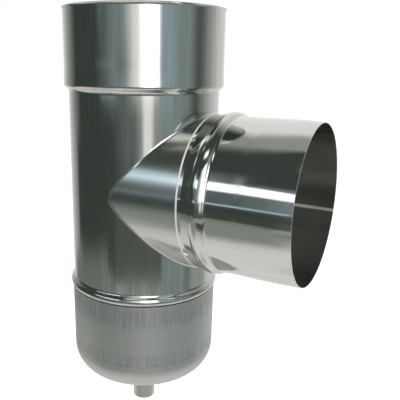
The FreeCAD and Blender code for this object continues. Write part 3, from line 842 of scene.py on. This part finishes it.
def mirrored_room(settings):
    """The world: white for the camera, and the lit panels of a dark room for the steel.

    A direction is turned so that azimuth 0 is the camera's. A panel's share is one inside its
    edges and falls off smoothly across them, in azimuth and in elevation. A negative softness
    turns an edge round, so that the share falls off beyond it.
    """
    world = bpy.data.worlds.new("Studio room")
    bpy.context.scene.world = world
    world.use_nodes = True
    tree = world.node_tree
    tree.nodes.clear()
    way = node(tree, "ShaderNodeTexCoord").outputs["Generated"]
    front = math.pi / 2 - settings.azimuth
    faced = node(tree, "ShaderNodeVectorRotate", {"Vector": way, "Angle": front},
                 rotation_type="Z_AXIS").outputs[0]
    parts = node(tree, "ShaderNodeSeparateXYZ", {"Vector": faced})
    bearing = node(tree, "ShaderNodeMath", {0: parts.outputs["Y"], 1: parts.outputs["X"]},
                   operation="ARCTAN2").outputs[0]
    rise = node(tree, "ShaderNodeMath", {0: parts.outputs["Z"]}, operation="ARCSINE").outputs[0]
    shown = (*settings.room, 1.0)
    for name, azimuth, half, aside, low, high, upright, tint, strength in MIRRORED:
        turned = node(tree, "ShaderNodeMath", {0: bearing, 1: math.radians(azimuth)},
                      operation="SUBTRACT").outputs[0]
        wrapped = node(tree, "ShaderNodeMath", {0: turned, 1: math.pi, 2: -math.pi},
                       operation="WRAP").outputs[0]
        away = node(tree, "ShaderNodeMath", {0: wrapped}, operation="ABSOLUTE").outputs[0]
        share = 1.0
        for angle, edge, soft in ((rise, low, upright), (rise, high, -upright),
                                  (away, half, -aside)):
            within = node(tree, "ShaderNodeMapRange", {
                "Value": angle, "From Min": math.radians(edge - soft / 2),
                "From Max": math.radians(edge + soft / 2)}, interpolation_type="SMOOTHSTEP")
            share = node(tree, "ShaderNodeMath", {0: share, 1: within.outputs[0]},
                         operation="MULTIPLY", label=name).outputs[0]
        lit = tuple(channel * strength for channel in linear(tint))
        shown = node(tree, "ShaderNodeMix", {"Factor": share, "A": shown, "B": (*lit, 1.0)},
                     data_type="RGBA").outputs["Result"]
    ray = node(tree, "ShaderNodeLightPath")
    steel = node(tree, "ShaderNodeBackground", {"Color": shown})
    plain = node(tree, "ShaderNodeBackground", {"Color": WHITE, "Strength": PLAIN_LIGHT})
    seen = node(tree, "ShaderNodeBackground", {"Color": WHITE})
    unseen = node(tree, "ShaderNodeMixShader", {0: ray.outputs["Is Glossy Ray"],
                                                1: plain.outputs[0], 2: steel.outputs[0]})
    final = node(tree, "ShaderNodeMixShader", {0: ray.outputs["Is Camera Ray"],
                                               1: unseen.outputs[0], 2: seen.outputs[0]})
    node(tree, "ShaderNodeOutputWorld", {"Surface": final.outputs[0]})


def make_floor(settings):
    """A wide plain floor, which the camera sees as white paper with the tee's soft shadow.

    Its grid is polar: even angles, and radii that grow with the square of their number.
    """
    angles = np.linspace(0, 2 * math.pi, FLOOR_SECTORS + 1)
    radii = FLOOR_REACH * np.linspace(0, 1, FLOOR_RINGS + 1)[:, None] ** 2
    points = np.stack([radii * np.cos(angles), radii * np.sin(angles),
                       0 * radii * angles + settings.floor_height], axis=2)
    material = bpy.data.materials.new("Paper floor")
    material.use_nodes = True
    tree = material.node_tree
    tree.nodes.clear()
    ray = node(tree, "ShaderNodeLightPath")
    paper = node(tree, "ShaderNodeBsdfDiffuse", {"Color": (*settings.floor, 1.0)})
    glow = node(tree, "ShaderNodeMath", {0: ray.outputs["Is Camera Ray"], 1: PAPER_GLOW},
                operation="MULTIPLY")
    lift = node(tree, "ShaderNodeEmission", {"Color": WHITE, "Strength": glow.outputs[0]})
    both = node(tree, "ShaderNodeAddShader", {0: paper.outputs[0], 1: lift.outputs[0]})
    node(tree, "ShaderNodeOutputMaterial", {"Surface": both.outputs[0]})
    mesh = bpy.data.meshes.new("floor")
    index = np.arange(points.shape[0] * points.shape[1]).reshape(points.shape[:2])
    squares = np.stack([index[1:-1, :-1], index[2:, :-1], index[2:, 1:], index[1:-1, 1:]], axis=2)
    middle = np.stack([index[0, :-1], index[1, :-1], index[1, 1:]], axis=1)
    mesh.from_pydata(points.reshape(-1, 3), [], squares.reshape(-1, 4).tolist() + middle.tolist())
    mesh.materials.append(material)
    floor = bpy.data.objects.new("floor", mesh)
    bpy.context.scene.collection.objects.link(floor)
    floor.visible_glossy = False


def make_lamp(name, at, size, power):
    """A square softbox that looks at the middle of the tee and lights the floor."""
    lamp = bpy.data.lights.new(name, "AREA")
    lamp.shape, lamp.size, lamp.energy = "SQUARE", size, power
    holder = bpy.data.objects.new(name, lamp)
    away = Vector(at) - Vector(TEE_MIDDLE)
    turned = away.to_track_quat("Z", "Y").to_matrix().to_4x4()
    holder.matrix_world = Matrix.Translation(at) @ turned
    holder.visible_glossy = False
    bpy.context.scene.collection.objects.link(holder)


def make_camera(settings):
    """The camera: azimuth and elevation give its back, about which the roll turns it."""
    azimuth, elevation, roll = settings.azimuth, settings.elevation, settings.roll
    back = Vector((math.sin(azimuth) * math.cos(elevation),
                   -math.cos(azimuth) * math.cos(elevation), math.sin(elevation)))
    right = Vector((math.cos(azimuth), math.sin(azimuth), 0.0))
    up = back.cross(right)
    at = right * settings.target_right + up * settings.target_up + back * settings.distance
    turned_right = right * math.cos(roll) + up * math.sin(roll)
    turned_up = up * math.cos(roll) - right * math.sin(roll)
    lens = bpy.data.cameras.new("camera")
    lens.lens, lens.sensor_width, lens.shift_x = settings.lens, SENSOR_WIDTH, settings.shift
    lens.clip_start, lens.clip_end = SEEN_FROM, SEEN_TO
    camera = bpy.data.objects.new("camera", lens)
    axes = Matrix((turned_right, turned_up, back)).transposed().to_4x4()
    camera.matrix_world = Matrix.Translation(at) @ axes
    bpy.context.scene.collection.objects.link(camera)
    bpy.context.scene.camera = camera


# Operators

def brushed_weld(colours):
    """The brushed weld's material, which the first piece that needs it makes."""
    name = "Brushed weld"
    return bpy.data.materials.get(name) or weld_steel(name, least=0.34, most=0.44, metallic=0.25,
                                                      tint=colours.brushed)


class STOVETEE_OT_tee(bpy.types.Operator):
    """Make the pipe with its bell, the coped collar, the spigot and their welds"""
    bl_idname = "stovetee.tee"
    bl_label = "Pipe and branch"

    def execute(self, context):
        sizes, colours = context.scene.tee_sizes, context.scene.tee_finishes
        upright = bright_sheet("Bright sheet, upright", "Z", streaks=1.0, dullness=0.06,
                               seam_at=0.0, colours=colours)
        level = bright_sheet("Bright sheet, level", "X", streaks=0.35, dullness=0.06,
                             seam_at=-0.0165, colours=colours)
        satin = bright_sheet("Satin sheet, level", "X", streaks=0.35, dullness=0.2,
                             seam_at=-0.0165, colours=colours)
        polished = weld_steel("Polished weld", least=0.07, most=0.14, metallic=1.0,
                              tint=colours.weld)
        make_piece("tee_body", "tee", pipe_patches(sizes), upright)
        make_piece("branch_collar", "tee", collar_patches(sizes), satin)
        spigot = sheet_outline(spigot_line, sizes, sizes.wall)
        make_piece("branch_spigot", "tee", turned_piece(spigot, "X", sizes.columns), level)
        make_piece("saddle_weld", "tee", saddle_patches(sizes), polished)
        ring = ring_weld_outline(sizes)
        make_piece("spigot_weld", "tee", turned_piece(ring, "X", sizes.columns),
                   brushed_weld(colours))
        return {"FINISHED"}


class STOVETEE_OT_cap(bpy.types.Operator):
    """Make the drawn condensate cap, its drain nipple and their weld"""
    bl_idname = "stovetee.cap"
    bl_label = "Condensate cap"

    def execute(self, context):
        sizes, colours = context.scene.tee_sizes, context.scene.tee_finishes
        cup = sheet_outline(cap_line, sizes, sizes.cap_wall)
        make_piece("condensate_cap", "cap", turned_piece(cup, "Z", sizes.columns),
                   drawn_steel(colours, sizes))
        nipple, weld = nipple_outline(sizes), drain_weld_outline(sizes)
        make_piece("drain_nipple", "cap", turned_piece(nipple, "Z", NIPPLE_COLUMNS),
                   turned_steel(colours))
        make_piece("drain_weld", "cap", turned_piece(weld, "Z", NIPPLE_COLUMNS),
                   brushed_weld(colours))
        return {"FINISHED"}


class STOVETEE_OT_studio(bpy.types.Operator):
    """Set up the floor, the lamps, the room that the steel mirrors, and the camera"""
    bl_idname = "stovetee.studio"
    bl_label = "Studio"

    def execute(self, context):
        settings = context.scene.tee_studio
        context.scene.view_settings.view_transform = "Standard"
        make_floor(settings)
        mirrored_room(settings)
        for lamp in LAMPS:
            make_lamp(*lamp)
        make_camera(settings)
        return {"FINISHED"}


class STOVETEE_PT_panel(bpy.types.Panel):
    """The tee's operators and settings"""
    bl_idname = "STOVETEE_PT_panel"
    bl_label = "Stove pipe tee"
    bl_space_type = "VIEW_3D"
    bl_region_type = "UI"
    bl_category = "Stove Tee"

    def draw(self, context):
        for operator in (STOVETEE_OT_tee, STOVETEE_OT_cap, STOVETEE_OT_studio):
            self.layout.operator(operator.bl_idname)
        for group in (context.scene.tee_sizes, context.scene.tee_finishes,
                      context.scene.tee_studio):
            box = self.layout.box()
            for name in group.__annotations__:
                box.prop(group, name)


CLASSES = (TeeSizes, TeeFinishes, StudioSettings, STOVETEE_OT_tee, STOVETEE_OT_cap,
           STOVETEE_OT_studio, STOVETEE_PT_panel)


def register():
    """Register the classes, and give each scene the sizes, finishes and studio settings."""
    for cls in CLASSES:
        bpy.utils.register_class(cls)
    bpy.types.Scene.tee_sizes = PointerProperty(type=TeeSizes)
    bpy.types.Scene.tee_finishes = PointerProperty(type=TeeFinishes)
    bpy.types.Scene.tee_studio = PointerProperty(type=StudioSettings)


def unregister():
    """Take them away again, in the reverse order."""
    del bpy.types.Scene.tee_studio
    del bpy.types.Scene.tee_finishes
    del bpy.types.Scene.tee_sizes
    for cls in reversed(CLASSES):
        bpy.utils.unregister_class(cls)


def main():
    """Build the tee and its studio."""
    register()
    bpy.ops.stovetee.tee()
    bpy.ops.stovetee.cap()
    bpy.ops.stovetee.studio()


if __name__ == "__main__":
    main()
